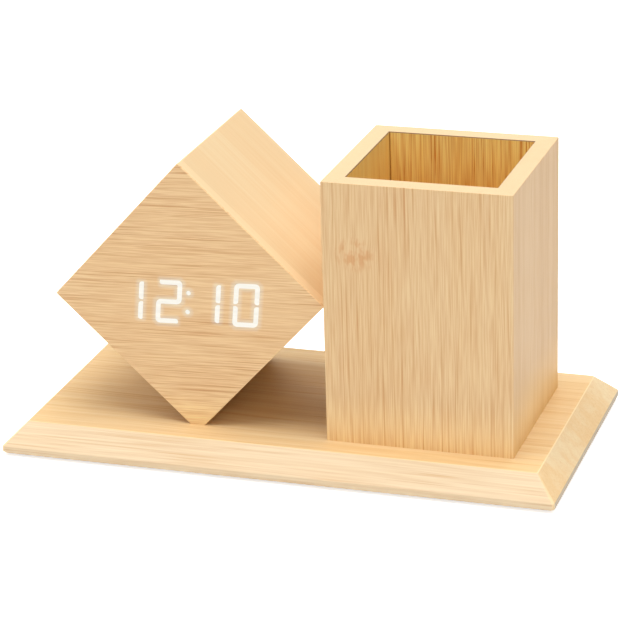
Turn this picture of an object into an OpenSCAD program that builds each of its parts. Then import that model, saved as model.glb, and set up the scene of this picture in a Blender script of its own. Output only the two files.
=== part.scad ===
// Desk clock with pen holder: a square clock that stands on one corner beside a square pen holder,
// on a board with a bevelled edge. The digits shine through the thin wood skin of the clock's front.
// Lengths are in millimetres. X runs along the board, Y from the front to the back and Z up.
// The origin is on the table, under the middle of the board.

/* [Board] */
// Length of the board, left to right
board_l = 200; // [190:1:240]
// Width of the board, front to back
board_w = 104; // [98:1:130]
// Height of the upright edge below the bevel
board_edge_h = 2.6; // [2:0.1:6]
// Height of the bevel
bevel_h = 7.6; // [6:0.1:12]
// Width of the bevel, seen from above
bevel_w = 7.5; // [4:0.1:9]
// Diameter of a rubber foot
rubber_d = 12; // [8:0.5:16]
// Thickness of a rubber foot
rubber_h = 1; // [0.5:0.1:3]
// From the board's edges to the middle of a rubber foot
rubber_inset = 14; // [10:0.5:20]

/* [Pen holder] */
// Outer width of the square holder
holder_w = 66.5; // [56:0.5:72]
// Height of the holder above the board
holder_h = 94; // [70:1:120]
// Thickness of the holder's walls
holder_wall = 7; // [4:0.5:10]
// Thickness of the holder's floor
holder_floor_t = 7; // [5:0.5:12]
// From the board's front edge to the holder
holder_front = 16.8; // [12:0.2:22]
// From the board's right edge to the holder
holder_right = 18; // [12:0.5:24]
// Distance between the two screws under the holder
holder_screw_span = 30; // [20:1:40]

/* [Clock case] */
// Side of the square case
clock_side = 70; // [70:0.5:76]
// Depth of the case with its front
clock_depth = 67; // [60:1:76]
// Thickness of the case's side boards
clock_wall = 5; // [4:0.25:5.5]
// Turn of the case about its depth axis: 45 stands it upright on its corner
clock_turn = 47; // [42:0.5:48]
// Width of the flat that is cut on the lower corner
clock_foot_w = 5.6; // [4:0.2:8]
// From the board's front edge to the clock's front
clock_front = 18.8; // [12:0.2:24]
// Gap between the clock's right corner and the holder
clock_gap = 0.3; // [0.2:0.1:3]
// Thickness of the front board
face_t = 4; // [3:0.25:6]
// Thickness of the wood skin over the front board
veneer_t = 0.6; // [0.4:0.1:1]
// Leg of the glue blocks in the case's corners
block_leg = 9; // [8:0.5:10]
// Length of the short glue blocks
block_l = 14; // [12:1:20]
// Distance between the two screws under the clock
clock_screw_span = 36; // [20:1:40]

/* [Display] */
// Height of a digit
digit_h = 16.2; // [12:0.2:18]
// Width of a digit
digit_w = 9.6; // [8:0.2:10.4]
// Distance from one digit to the next
digit_pitch = 14.2; // [13:0.1:15]
// Width of a segment
stroke = 1.95; // [1.4:0.05:2.2]
// Slant of the digits, in degrees
digit_slant = 7.4; // [0:0.2:10]
// Chamfer on a digit's outer corners
digit_chamfer = 0.8; // [0.7:0.1:1.2]
// Gap between segments
segment_gap = 0.25; // [0.2:0.05:0.35]
// Diameter of a colon dot
colon_d = 1.7; // [1.2:0.1:2.2]
// Distance between the colon dots
colon_span = 7; // [5:0.5:9]
// How far the digits lie below the middle of the face
digit_drop = 1; // [0:0.25:2]
// Plastic around the digits
housing_margin = 1.5; // [1:0.1:2]
// Depth of the display housing
housing_depth = 8; // [7:0.5:10]
// Length of the light guides
guide_l = 5; // [4:0.5:6]
// Width of the screw tabs above and below the digits
tab_w = 28; // [24:1:30]
// Height of a screw tab
tab_h = 5.2; // [4.6:0.2:6]
// Distance between the two screws of a tab
tab_screw_span = 20; // [14:1:22]
// Thickness of the circuit boards
circuit_t = 1.6; // [1:0.1:2]
// Width of a light
led_w = 1.1; // [0.8:0.1:1.3]
// Height of a light
led_h = 0.6; // [0.4:0.1:1]
// Side of the controller chip
chip_w = 8; // [6:0.5:9]
// Height of the controller chip
chip_h = 1.2; // [0.8:0.1:2]
// Diameter of the buzzer
buzzer_d = 12; // [9:0.5:13]
// Height of the buzzer
buzzer_h = 6; // [4:0.5:9]

/* [Rear cover] */
// How far the cover lies inside the rear rim
cover_recess = 2; // [1.8:0.1:3]
// Thickness of the cover
cover_t = 2.4; // [2.2:0.1:3]
// Gap between the cover and the case
cover_gap = 0.3; // [0.2:0.05:0.5]
// Wall of the battery well
well_wall = 1.2; // [1:0.1:1.4]
// Middle of the battery well, from the middle of the cover
well_at = -4; // [-5:0.25:-3]
// Ledge that the battery door lies on
ledge = 1.6; // [1.2:0.1:1.8]
// Thickness of the battery door
door_t = 1.6; // [1.2:0.1:1.8]
// Radius of the battery door's hinge barrel
barrel_r = 1.9; // [1.85:0.05:2]
// Radius of the hinge pins
pin_r = 0.8; // [0.6:0.05:1]
// Length of a hinge pin
pin_l = 1.2; // [0.8:0.1:1.4]
// Length of the finger notch beside the door
notch_l = 16; // [10:1:20]
// Radius of the finger notch
notch_r = 6; // [4:0.5:8]
// Depth of the finger notch
notch_depth = 1.2; // [0.8:0.1:1.5]
// Width of a grip rib on the door
rib_w = 0.8; // [0.5:0.1:1]
// Height of a grip rib
rib_h = 0.4; // [0.2:0.1:0.6]
// Length of a grip rib
rib_l = 14; // [10:1:20]
// Number of grip ribs
rib_count = 4; // [2:1:6]

/* [Batteries] */
// Diameter of a cell
cell_d = 10.5; // [9.8:0.1:10.6]
// Length of a cell with its button
cell_l = 44.5; // [43:0.25:44.75]
// Diameter of a cell's button
nub_d = 3.8; // [3:0.1:4.5]
// Height of a cell's button
nub_h = 1; // [0.8:0.1:1.4]
// Room for the contacts at each end of the cells
contact_room = 2.4; // [1.8:0.1:2.5]
// Thickness of the contact strip
contact_t = 0.4; // [0.3:0.05:0.5]
// Width of a contact
contact_w = 8; // [6:0.5:9]
// Width of a contact's bowed leaf
leaf_w = 5; // [3:0.5:6]
// Width of the legs that the leads are soldered to
leg_w = 2; // [1.5:0.1:3]
// How far the legs stand out below the well
leg_out = 1.5; // [1:0.1:3]
// Diameter of the battery leads
lead_d = 1.4; // [1:0.1:1.8]
// Bend radius of the battery leads
lead_bend = 3; // [2:0.1:4]

/* [Buttons and socket] */
// Diameter of a button
button_d = 6; // [5:0.1:6.2]
// How far a button stands out of the cover
button_proud = 1; // [0.6:0.1:1.4]
// Travel of a button
button_travel = 0.5; // [0.2:0.05:0.6]
// Lip of a button's flange
flange_lip = 0.6; // [0.4:0.1:0.7]
// Thickness of a button's flange
flange_t = 0.8; // [0.6:0.1:1.2]
// Diameter of a switch plunger
plunger_d = 3.5; // [3:0.1:4]
// How far a plunger stands out of its switch
plunger_out = 1; // [0.9:0.1:1.4]
// How far a plunger reaches into its switch
plunger_in = 1.2; // [0.8:0.1:1.5]
// Side of a switch
switch_w = 6; // [5:0.1:6.4]
// Height of a switch
switch_h = 3.5; // [3:0.1:4.5]
// Width of the power socket
socket_l = 8.9; // [8:0.1:9.2]
// Height of the power socket
socket_h = 3.2; // [3:0.1:3.6]
// Wall of the power socket
socket_wall = 0.35; // [0.3:0.05:0.4]
// Floor of the power socket
socket_floor = 1; // [0.8:0.1:1.5]
// How far the power socket lies inside the cover's face
socket_recess = 0.3; // [0:0.1:0.6]
// Width of the tongue in the power socket
tongue_l = 6.6; // [6:0.1:6.8]
// Thickness of the tongue
tongue_t = 0.7; // [0.5:0.1:0.9]
// How far the tongue ends behind the socket's mouth
tongue_recess = 1; // [0.6:0.1:2]
// Diameter of the bosses that carry the control board
boss_d = 3.8; // [3.4:0.1:4]
// Gap between neighbours on the control board
row_gap = 0.6; // [0.4:0.05:0.7]
// Width of the control board
control_w = 7; // [6.6:0.1:7.2]
// Board past the bosses, at each end of the control board
control_margin = 0.5; // [0.3:0.1:0.6]

/* [Ribbon cable] */
// Width of the ribbon
ribbon_w = 6.4; // [5:0.1:7]
// Thickness of the ribbon
ribbon_t = 0.9; // [0.6:0.1:1.2]
// Straight run of the ribbon at each plug
ribbon_run = 6; // [4:0.5:8]
// Length of a ribbon plug
plug_l = 8; // [7:0.5:9]
// Width of a ribbon plug
plug_w = 4; // [3:0.5:5]
// Height of a ribbon plug
plug_h = 3; // [2:0.5:4]
// Place of the plug on the display board, from the middle of the case
plug_at = 10; // [9:0.25:11]

/* [Fasteners] */
// Shaft diameter of the wood screws
wood_screw_d = 3; // [2.5:0.1:3.5]
// Head diameter of the wood screws
wood_screw_head_d = 6; // [5:0.1:7]
// Head height of the wood screws
wood_screw_head_h = 2; // [1.5:0.1:2.5]
// Length of a wood screw's point
wood_screw_tip_h = 2; // [1:0.1:3]
// Depth of the wood screws' heads in the board
wood_screw_sink = 0.4; // [0.2:0.1:1]
// Wood left above the wood screws
wood_screw_stop = 1; // [0.8:0.1:2]
// Shaft diameter of the small screws
small_screw_d = 2; // [1.6:0.1:2.2]
// Head diameter of the small screws
small_screw_head_d = 3.6; // [3:0.1:3.8]
// Head height of the small screws
small_screw_head_h = 1.2; // [0.8:0.1:1.6]
// Length of a small screw past the piece that it holds
small_screw_grip = 3; // [2:0.1:3.2]
// Length of a cover screw past the cover
cover_screw_grip = 6; // [4:0.5:8]
// From the case's inner sides to a cover screw
cover_screw_in = 3.3; // [2.8:0.1:3.6]

/* [Clearances] */
// Clearance of fixed and sliding fits
fit = 0.1; // [0.05:0.01:0.15]
// Gap around pieces that move
run_gap = 0.3; // [0.2:0.05:0.4]
// Radial gap of the hinge pins
pin_gap = 0.05; // [0.02:0.01:0.1]

/* [Hidden] */
$fn = 64;

// Colours
BOARD_WOOD = "#F2CD97";
HOLDER_WOOD = "#E4C08F";
CASE_WOOD = "#F8DAA8";
FACE_WOOD = "#E5BF8D";
RAW_WOOD = "#C9A06B";
BLACK_PLASTIC = "#26262A";
WHITE_PLASTIC = "#EEEEEA";
LIT = "#FFFDF2";
UNLIT = "#C8C8C4";
CIRCUIT = "#2E6B45";
STEEL = "#B9BBBE";
RUBBER = "#3A3A3C";
CELL = "#5F7F8F";
RED_WIRE = "#B03028";

// How far a cut runs past the face that it opens
past = 1;

// Cross recess of a screw, as shares of its head's diameter and height
RECESS_LENGTH = 0.6;
RECESS_WIDTH = 0.15;
RECESS_DEPTH = 0.7;

// Blunt point of a wood screw, as a share of its diameter
POINT = 0.25;

// Board
board_t = board_edge_h + bevel_h;
board_top = rubber_h + board_t;

// Pen holder
holder_x1 = board_l/2 - holder_right;
holder_x0 = holder_x1 - holder_w;
holder_cx = holder_x1 - holder_w/2;
holder_cy = -board_w/2 + holder_front + holder_w/2;
holder_inner = holder_w - 2*holder_wall;
holder_screw_l = board_t - wood_screw_sink + holder_floor_t - wood_screw_stop;
holder_screw_places = [for (side = [-1, 1]) [holder_cx, holder_cy + side*holder_screw_span/2]];

// Clock case: its right corner just clears the holder and its lower corner is cut off at the board
lean = clock_turn - 45;
half = clock_side/2;
inner = half - clock_wall;
clock_r = half*sqrt(2);
foot_cut = clock_foot_w*cos(2*lean)/2;
clock_cx = holder_x0 - clock_gap - clock_r*cos(lean);
clock_cz = board_top + clock_r*cos(lean) - foot_cut;
clock_y0 = -board_w/2 + clock_front;
clock_y1 = clock_y0 + clock_depth;
face_y = clock_y0 + veneer_t;
face_back_y = face_y + face_t;
foot_x = clock_cx + clock_r*sin(lean);
foot_wood = (clock_wall*sqrt(2) + block_leg/sqrt(2))*cos(lean) - foot_cut;
clock_screw_l = board_t - wood_screw_sink + foot_wood - wood_screw_stop;
clock_screw_places = [for (side = [-1, 1]) [foot_x, (clock_y0 + clock_y1)/2 + side*clock_screw_span/2]];

// Display
SEGMENTS = ["a", "b", "c", "d", "e", "f", "g"];
LIT_SEGMENTS = ["bc", "abdeg", "bc", "abcdef"];
last_digit = len(LIT_SEGMENTS) - 1;
DIGITS = [0:last_digit];
display_w = last_digit*digit_pitch + digit_w + digit_h*tan(digit_slant) + 2*housing_margin;
display_h = digit_h + 2*housing_margin;
display_front_y = face_y + housing_depth;
display_rear_y = display_front_y + circuit_t;
tab_screw_z = display_h/2 + tab_h/2;
tab_screw_places = [for (x = [-1, 1], z = [-1, 1]) [x*tab_screw_span/2, z*tab_screw_z]];
tab_screw_l = circuit_t + display_front_y - face_back_y + small_screw_grip;

// Rear cover and battery well, with depths measured inwards from the rear rim
cover_out = cover_recess;
cover_in = cover_out + cover_t;
cover_half = inner - cover_gap;
cover_screw_at = inner - cover_screw_in;
cover_screw_places = [for (x = [-1, 1], z = [-1, 1]) [x*cover_screw_at, z*cover_screw_at]];
cell_count = 3;
cell_step = cell_d + run_gap;
well_w = cell_count*cell_d + (cell_count + 1)*run_gap;
well_half = cell_l/2 + contact_room;
well_x0 = well_at - well_w/2;
well_x1 = well_at + well_w/2;
cell_depth = cover_out + door_t + run_gap + cell_d/2;
well_floor = cell_depth + cell_d/2 + run_gap;
well_bottom = well_floor + well_wall;
recess_x0 = well_x0 - ledge;
recess_half = well_half + ledge;
hinge_x = well_x1 + run_gap + barrel_r;
hinge_depth = cover_out + barrel_r;
trough_x1 = hinge_x + barrel_r + run_gap;
trough_depth = hinge_depth + barrel_r + run_gap;
trough_half = recess_half + pin_l + run_gap + well_wall/2;
bow_r = contact_room - contact_t/2 - pin_gap;
leg_end = well_bottom + leg_out;

// Control board: a boss, the buttons, the socket and another boss in one row
button_count = 3;
BUTTONS = [0:button_count - 1];
flange_d = button_d + 2*flange_lip;
row_step = flange_d + row_gap;
row_l = 2*boss_d + button_count*flange_d + socket_l + (button_count + 2)*row_gap;
boss_z = (row_l - boss_d)/2;
socket_z = row_l/2 - boss_d - row_gap - socket_l/2;
strip_x = (trough_x1 + well_wall + inner)/2;
flange_in = cover_in + run_gap + flange_t;
switch_top = flange_in + plunger_out;
control_rear = switch_top + switch_h;
control_front = control_rear + circuit_t;
socket_mouth = cover_out + socket_recess;
lead_x = strip_x - control_w/4;
lead_z = boss_z - boss_d;

function button_z(place) = -row_l/2 + boss_d + row_gap + flange_d/2 + place*row_step;
function cell_x(place) = well_x0 + run_gap + cell_d/2 + place*cell_step;
function is_lit(digit, name) = len(search(name, LIT_SEGMENTS[digit])) > 0;
function mean(points) = [for (i = [0, 1]) let (all = [for (p = points) p[i]]) sum(all)/len(all)];
function sum(list, i = 0) = i < len(list) ? list[i] + sum(list, i + 1) : 0;

// Outline of the top, upper right and middle segment, upright and about the digit's middle
function top_outline() =
    let (w = digit_w/2, h = digit_h/2, g = segment_gap, c = digit_chamfer)
    [[c - w, h], [w - c, h], [w - c/2 - g, h - c/2], [w - stroke - g, h - stroke],
     [stroke + g - w, h - stroke], [c/2 + g - w, h - c/2]];
function side_outline() =
    let (w = digit_w/2, h = digit_h/2, g = segment_gap, c = digit_chamfer)
    [[w, g], [w, h - c], [w - c/2, h - c/2 - g], [w - stroke, h - stroke - g],
     [w - stroke, stroke/2 + g], [w - stroke/2, g]];
function middle_outline() =
    let (w = digit_w/2, g = segment_gap, s = stroke/2)
    [[s + g - w, 0], [stroke + g - w, s], [w - stroke - g, s], [w - s - g, 0],
     [w - stroke - g, -s], [stroke + g - w, -s]];
function flipped(points, x, z) = [for (p = points) [x*p.x, z*p.y]];
function upright_outline(name) =
    name == "a" ? top_outline() :
    name == "b" ? side_outline() :
    name == "c" ? flipped(side_outline(), 1, -1) :
    name == "d" ? flipped(top_outline(), 1, -1) :
    name == "e" ? flipped(side_outline(), -1, -1) :
    name == "f" ? flipped(side_outline(), -1, 1) :
    middle_outline();

// Outline of a segment of one digit, slanted and in its place on the face
function digit_x(digit) = (digit - last_digit/2)*digit_pitch;
function slanted(point) = [point.x + point.y*tan(digit_slant), point.y];
function segment_outline(digit, name) =
    [for (p = upright_outline(name)) slanted(p) + [digit_x(digit), 0]];
colon_places = [for (side = [-1, 1]) slanted([0, side*colon_span/2])];

// Extrudes an outline that is drawn in X and Z from y0 to y1
module along_y(y0, y1) translate([0, y1, 0]) rotate([90, 0, 0]) linear_extrude(y1 - y0) children();

// The frame of the square case: X points up its right side and Z up its left side
module in_case() translate([clock_cx, 0, clock_cz]) rotate([0, -clock_turn, 0]) children();

// The frame of the display: X to the right and Z up along the leaning face
module in_display()
    translate([clock_cx, 0, clock_cz]) rotate([0, -lean, 0]) translate([0, 0, -digit_drop]) children();

// Extrudes an outline of the case between two depths from the rear rim
module at_depth(depth0, depth1) in_case() along_y(clock_y1 - depth1, clock_y1 - depth0) children();

// A rectangle from one corner to the other
module span(x0, x1, z0, z1) translate([x0, z0]) square([x1 - x0, z1 - z0]);

// Everything below the board's top
module below_board()
    translate([-board_l, -board_w, board_top - board_l]) cube([2*board_l, 2*board_w, board_l]);

// Screws point up from the middle of their heads' outer faces
module cross_recess(head_d, head_h)
    translate([0, 0, -past]) linear_extrude(RECESS_DEPTH*head_h + past)
        for (turn = [0, 90]) rotate(turn)
            square([RECESS_LENGTH*head_d, RECESS_WIDTH*head_d], center = true);

module wood_screw(length) difference() {
    rotate_extrude() polygon([
        [0, 0], [wood_screw_head_d/2, 0], [wood_screw_d/2, wood_screw_head_h],
        [wood_screw_d/2, length - wood_screw_tip_h], [POINT*wood_screw_d/2, length], [0, length]
    ]);
    cross_recess(wood_screw_head_d, wood_screw_head_h);
}

// The hole of a wood screw with its head sunk into the lower face
module wood_screw_hole(length) {
    head_r = wood_screw_head_d/2 + fit;
    shaft_r = wood_screw_d/2 + fit;
    end = wood_screw_sink + length + fit;
    rotate_extrude() polygon([
        [0, -past], [head_r, -past], [head_r, wood_screw_sink],
        [shaft_r, wood_screw_sink + wood_screw_head_h], [shaft_r, end], [0, end]
    ]);
}

// A small screw stands on its head's under face, with its shaft along Z
module small_screw(length) difference() {
    union() {
        translate([0, 0, -small_screw_head_h]) cylinder(h = small_screw_head_h, d = small_screw_head_d);
        cylinder(h = length, d = small_screw_d);
    }
    translate([0, 0, -small_screw_head_h]) cross_recess(small_screw_head_d, small_screw_head_h);
}

module small_hole() circle(d = small_screw_d + 2*fit);

// All holes of the screws that come up through the board
module screw_holes() {
    for (place = holder_screw_places)
        translate([place.x, place.y, rubber_h]) wood_screw_hole(holder_screw_l);
    for (place = clock_screw_places)
        translate([place.x, place.y, rubber_h]) wood_screw_hole(clock_screw_l);
}

module board_outline(length) polygon([
    [-length/2, 0], [length/2, 0], [length/2, board_edge_h],
    [length/2 - bevel_w, board_t], [bevel_w - length/2, board_t], [-length/2, board_edge_h]
]);

module base_board() color(BOARD_WOOD) difference() {
    translate([0, 0, rubber_h]) intersection() {
        along_y(-board_w/2, board_w/2) board_outline(board_l);
        rotate([0, 0, 90]) along_y(-board_l/2, board_l/2) board_outline(board_w);
    }
    screw_holes();
}

module rubber_feet() color(RUBBER)
    for (x = [-1, 1], y = [-1, 1])
        translate([x*(board_l/2 - rubber_inset), y*(board_w/2 - rubber_inset), 0])
            cylinder(h = rubber_h, d = rubber_d);

module holder_screws() color(STEEL)
    for (place = holder_screw_places)
        translate([place.x, place.y, rubber_h + wood_screw_sink]) wood_screw(holder_screw_l);

module clock_screws() color(STEEL)
    for (place = clock_screw_places)
        translate([place.x, place.y, rubber_h + wood_screw_sink]) wood_screw(clock_screw_l);

// One mitred wall of the holder: the front one, turned about the holder's middle
module holder_side(turn) color(HOLDER_WOOD)
    translate([holder_cx, holder_cy, board_top]) rotate([0, 0, turn]) linear_extrude(holder_h)
        polygon([
            [-holder_w/2, -holder_w/2], [holder_w/2, -holder_w/2],
            [holder_inner/2, -holder_inner/2], [-holder_inner/2, -holder_inner/2]
        ]);

module holder_front_wall() holder_side(0);
module holder_right_wall() holder_side(90);
module holder_back_wall() holder_side(180);
module holder_left_wall() holder_side(270);

module holder_floor() color(HOLDER_WOOD) difference() {
    translate([holder_cx, holder_cy, board_top]) linear_extrude(holder_floor_t)
        square(holder_inner, center = true);
    screw_holes();
}

// One mitred side of the case: the upper right one, turned about the case's middle
module case_side(turn) color(CASE_WOOD) difference() {
    in_case() along_y(face_back_y, clock_y1) rotate(turn)
        polygon([[inner, -inner], [half, -half], [half, half], [inner, inner]]);
    below_board();
    screw_holes();
}

module clock_upper_right_side() case_side(0);
module clock_upper_left_side() case_side(90);
module clock_lower_left_side() case_side(180);
module clock_lower_right_side() case_side(270);

module front_board() color(CASE_WOOD) difference() {
    in_case() along_y(face_y, face_back_y) square(clock_side, center = true);
    in_display() along_y(face_y - past, face_back_y + past)
        square([display_w + 2*fit, display_h + 2*fit], center = true);
    in_display() along_y(face_back_y - small_screw_grip - fit, face_back_y + past)
        for (place = tab_screw_places) translate(place) small_hole();
    below_board();
}

module front_veneer() color(FACE_WOOD) difference() {
    in_case() along_y(clock_y0, face_y) square(clock_side, center = true);
    below_board();
}

module block_outline() polygon([[inner, inner], [inner - block_leg, inner], [inner, inner - block_leg]]);

module cover_screw_holes(depth)
    at_depth(cover_out - past, depth) for (place = cover_screw_places) translate(place) small_hole();

module corner_blocks() color(RAW_WOOD) difference() {
    at_depth(cover_in, cover_in + block_l) for (turn = [-90, 0, 90]) rotate(turn) block_outline();
    cover_screw_holes(cover_in + cover_screw_grip + fit);
}

module foot_block() color(RAW_WOOD) difference() {
    in_case() along_y(face_back_y, clock_y1 - cover_in) rotate(180) block_outline();
    cover_screw_holes(cover_in + cover_screw_grip + fit);
    screw_holes();
}

// The tabs lie behind the front board and carry the display's screws
module display_outline(margin) {
    square([display_w - 2*margin, display_h - 2*margin], center = true);
    square([tab_w - 2*margin, display_h + 2*tab_h - 2*margin], center = true);
}

// Every segment and colon dot, or only those that are lit or unlit
module segment_outlines(lit, unlit) {
    for (digit = DIGITS, name = SEGMENTS)
        if (is_lit(digit, name) ? lit : unlit) polygon(segment_outline(digit, name));
    if (lit)
        for (place = colon_places) translate(place) circle(d = colon_d);
}

module display_housing() color(WHITE_PLASTIC) difference() {
    union() {
        in_display() along_y(face_y, display_front_y) square([display_w, display_h], center = true);
        in_display() along_y(face_back_y, display_front_y) display_outline(0);
    }
    in_display() along_y(face_y - past, display_front_y + past) segment_outlines(true, true);
    in_display() along_y(face_back_y - past, display_front_y + past)
        for (place = tab_screw_places) translate(place) small_hole();
}

module lit_segments() color(LIT)
    in_display() along_y(face_y, face_y + guide_l) segment_outlines(true, false);

module unlit_segments() color(UNLIT)
    in_display() along_y(face_y, face_y + guide_l) segment_outlines(false, true);

module display_board() color(CIRCUIT) difference() {
    in_display() along_y(display_front_y, display_rear_y) display_outline(fit);
    in_display() along_y(display_front_y - past, display_rear_y + past)
        for (place = tab_screw_places) translate(place) small_hole();
}

module display_leds() color(WHITE_PLASTIC) in_display() along_y(display_front_y - led_h, display_front_y) {
    for (digit = DIGITS, name = SEGMENTS)
        translate(mean(segment_outline(digit, name))) square(led_w, center = true);
    for (place = colon_places) translate(place) square(led_w, center = true);
}

module display_screws() color(STEEL) in_display()
    for (place = tab_screw_places)
        translate([place.x, display_rear_y, place.y]) rotate([90, 0, 0]) small_screw(tab_screw_l);

module controller_chip() color(BLACK_PLASTIC)
    in_display() along_y(display_rear_y, display_rear_y + chip_h)
        translate([0, -display_h/2 + chip_w/2 + housing_margin]) square(chip_w, center = true);

module buzzer() color(BLACK_PLASTIC)
    in_display() along_y(display_rear_y, display_rear_y + buzzer_h)
        translate([-display_w/2 + buzzer_d/2 + housing_margin, 0]) circle(d = buzzer_d);

// Outline of the power socket, with round ends
module socket_outline(margin) {
    width = socket_l - 2*margin;
    height = socket_h - 2*margin;
    translate([strip_x, socket_z]) {
        square([height, width - height], center = true);
        for (side = [-1, 1]) translate([0, side*(width - height)/2]) circle(d = height);
    }
}

module boss_places() for (side = [-1, 1]) translate([strip_x, side*boss_z]) children();

module rear_cover() color(BLACK_PLASTIC) difference() {
    union() {
        at_depth(cover_out, cover_in) square(2*cover_half, center = true);
        at_depth(cover_out, well_bottom)
            span(well_x0 - well_wall, well_x1 + well_wall, -well_half - well_wall, well_half + well_wall);
        at_depth(cover_out, trough_depth + well_wall)
            span(well_x1, trough_x1 + well_wall, -trough_half, trough_half);
        at_depth(cover_out, control_rear) boss_places() circle(d = boss_d);
    }
    at_depth(cover_out - past, well_floor) span(well_x0, well_x1, -well_half, well_half);
    at_depth(cover_out - past, cover_out + door_t + fit)
        span(recess_x0, hinge_x, -recess_half, recess_half);
    at_depth(cover_out - past, trough_depth) span(well_x1 - fit, trough_x1, -recess_half, recess_half);
    in_case() translate([hinge_x, clock_y1 - hinge_depth, 0])
        cylinder(h = 2*(recess_half + pin_l + run_gap), r = pin_r + pin_gap, center = true);
    in_case() translate([recess_x0, clock_y1 - cover_out + notch_r - notch_depth, 0])
        cylinder(h = notch_l, r = notch_r, center = true);
    at_depth(cover_out - past, cover_in + past) {
        for (place = BUTTONS) translate([strip_x, button_z(place)]) circle(d = button_d + 2*fit);
        socket_outline(-fit);
    }
    at_depth(control_rear - small_screw_grip - fit, control_rear + past) boss_places() small_hole();
    at_depth(well_floor - past, well_bottom + past) leg_slots();
    cover_screw_holes(cover_in + past);
}

module cover_screws() color(STEEL) in_case()
    for (place = cover_screw_places)
        translate([place.x, clock_y1 - cover_out, place.y]) rotate([90, 0, 0])
            small_screw(cover_t + cover_screw_grip);

module battery_door() color(BLACK_PLASTIC) {
    door_half = recess_half - run_gap;
    door_x0 = recess_x0 + run_gap;
    at_depth(cover_out, cover_out + door_t) span(door_x0, hinge_x, -door_half, door_half);
    at_depth(cover_out - rib_h, cover_out)
        for (rib = [1:rib_count])
            translate([door_x0 + 2*rib*rib_w, 0]) square([rib_w, rib_l], center = true);
    in_case() translate([hinge_x, clock_y1 - hinge_depth, 0]) {
        cylinder(h = 2*door_half, r = barrel_r, center = true);
        cylinder(h = 2*(recess_half + pin_l), r = pin_r, center = true);
    }
}

// The cells point up and down by turns
module battery_cells() color(CELL)
    for (place = [0:cell_count - 1])
        in_case() translate([cell_x(place), clock_y1 - cell_depth, 0])
            rotate([0, place % 2 == 0 ? 0 : 180, 0]) translate([0, 0, -cell_l/2]) {
                cylinder(h = cell_l - nub_h, d = cell_d);
                cylinder(h = cell_l, d = nub_d);
            }

// A contact strip on one end wall, with a bowed leaf for each cell. The strip of a single cell has a leg.
module contact_strip(first, last, side) {
    strip_l = cell_x(last) - cell_x(first) + contact_w;
    in_case() translate([0, clock_y1 - cell_depth, side*(well_half - contact_t/2)]) {
        linear_extrude(contact_t, center = true) {
            translate([(cell_x(first) + cell_x(last))/2, 0]) square([strip_l, contact_w], center = true);
            if (first == last)
                translate([cell_x(first) - leg_w/2, cell_depth - leg_end])
                    square([leg_w, leg_end - cell_depth]);
        }
        for (place = [first:last]) translate([cell_x(place), 0, 0]) difference() {
            rotate([0, 90, 0]) cylinder(h = leaf_w, r = bow_r, center = true);
            rotate([0, 90, 0]) cylinder(h = leaf_w + past, r = bow_r - contact_t, center = true);
            translate([0, 0, side*bow_r]) cube([leaf_w + past, 2*bow_r + past, 2*bow_r], center = true);
        }
    }
}

// The slots for the two legs that pass through the floor of the well, one at each end
module leg_slots()
    for (end = [[0, 1], [cell_count - 1, -1]])
        translate([cell_x(end[0]), end[1]*(well_half - contact_t/2)])
            square([leg_w + 2*fit, contact_t + 2*fit], center = true);

// The strips join the three cells in series
module battery_contacts() color(STEEL) {
    contact_strip(0, 0, 1);
    contact_strip(1, 2, 1);
    contact_strip(0, 1, -1);
    contact_strip(2, 2, -1);
}

// From a leg of the contacts, under the well's floor and up to the control board, in one plane
module battery_lead(place, side) {
    leg = [cell_x(place), side*(well_half - contact_t/2)];
    run = [lead_x, side*lead_z] - leg;
    reach = norm(run);
    in_case() translate([leg.x, clock_y1 - leg_end, leg.y]) rotate([0, -atan2(run.y, run.x), 0]) {
        translate([lead_bend, 0, 0]) lead_elbow(180);
        translate([lead_bend, -lead_bend, 0]) rotate([0, 90, 0])
            cylinder(h = reach - 2*lead_bend, d = lead_d);
        translate([reach - lead_bend, 0, 0]) lead_elbow(270);
        translate([reach, 0, 0]) rotate([-90, 0, 0]) cylinder(h = leg_end - control_front, d = lead_d);
    }
}

module lead_elbow(turn)
    rotate([0, 0, turn]) rotate_extrude(angle = 90) translate([lead_bend, 0]) circle(d = lead_d);

module battery_leads() color(RED_WIRE) {
    battery_lead(0, 1);
    battery_lead(cell_count - 1, -1);
}

module control_board() color(CIRCUIT) difference() {
    at_depth(control_rear, control_front)
        translate([strip_x, 0]) square([control_w, row_l + 2*control_margin], center = true);
    at_depth(control_rear - past, control_front + past) boss_places() small_hole();
}

module board_screws() color(STEEL) in_case()
    for (side = [-1, 1])
        translate([strip_x, clock_y1 - control_front, side*boss_z]) rotate([-90, 0, 0])
            small_screw(circuit_t + small_screw_grip);

module tact_switches() color(BLACK_PLASTIC) difference() {
    at_depth(switch_top, control_rear)
        for (place = BUTTONS) translate([strip_x, button_z(place)]) square(switch_w, center = true);
    at_depth(switch_top - past, switch_top + plunger_in + button_travel + run_gap)
        for (place = BUTTONS) translate([strip_x, button_z(place)]) circle(d = plunger_d + 2*fit);
}

module power_socket() color(STEEL) difference() {
    at_depth(socket_mouth, control_rear) socket_outline(0);
    at_depth(socket_mouth - past, control_rear - socket_floor) socket_outline(socket_wall);
}

module socket_tongue() color(BLACK_PLASTIC)
    at_depth(socket_mouth + tongue_recess, control_rear - socket_floor)
        translate([strip_x, socket_z]) square([tongue_t, tongue_l], center = true);

// A button's cap in the cover, with its flange behind the cover
module button(place) color(BLACK_PLASTIC) {
    middle = [strip_x, button_z(place)];
    at_depth(cover_out - button_proud, flange_in) translate(middle) circle(d = button_d);
    at_depth(flange_in - flange_t, flange_in) translate(middle) circle(d = flange_d);
}

module plunger(place) color(WHITE_PLASTIC)
    at_depth(flange_in, switch_top + plunger_in)
        translate([strip_x, button_z(place)]) circle(d = plunger_d);

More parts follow.
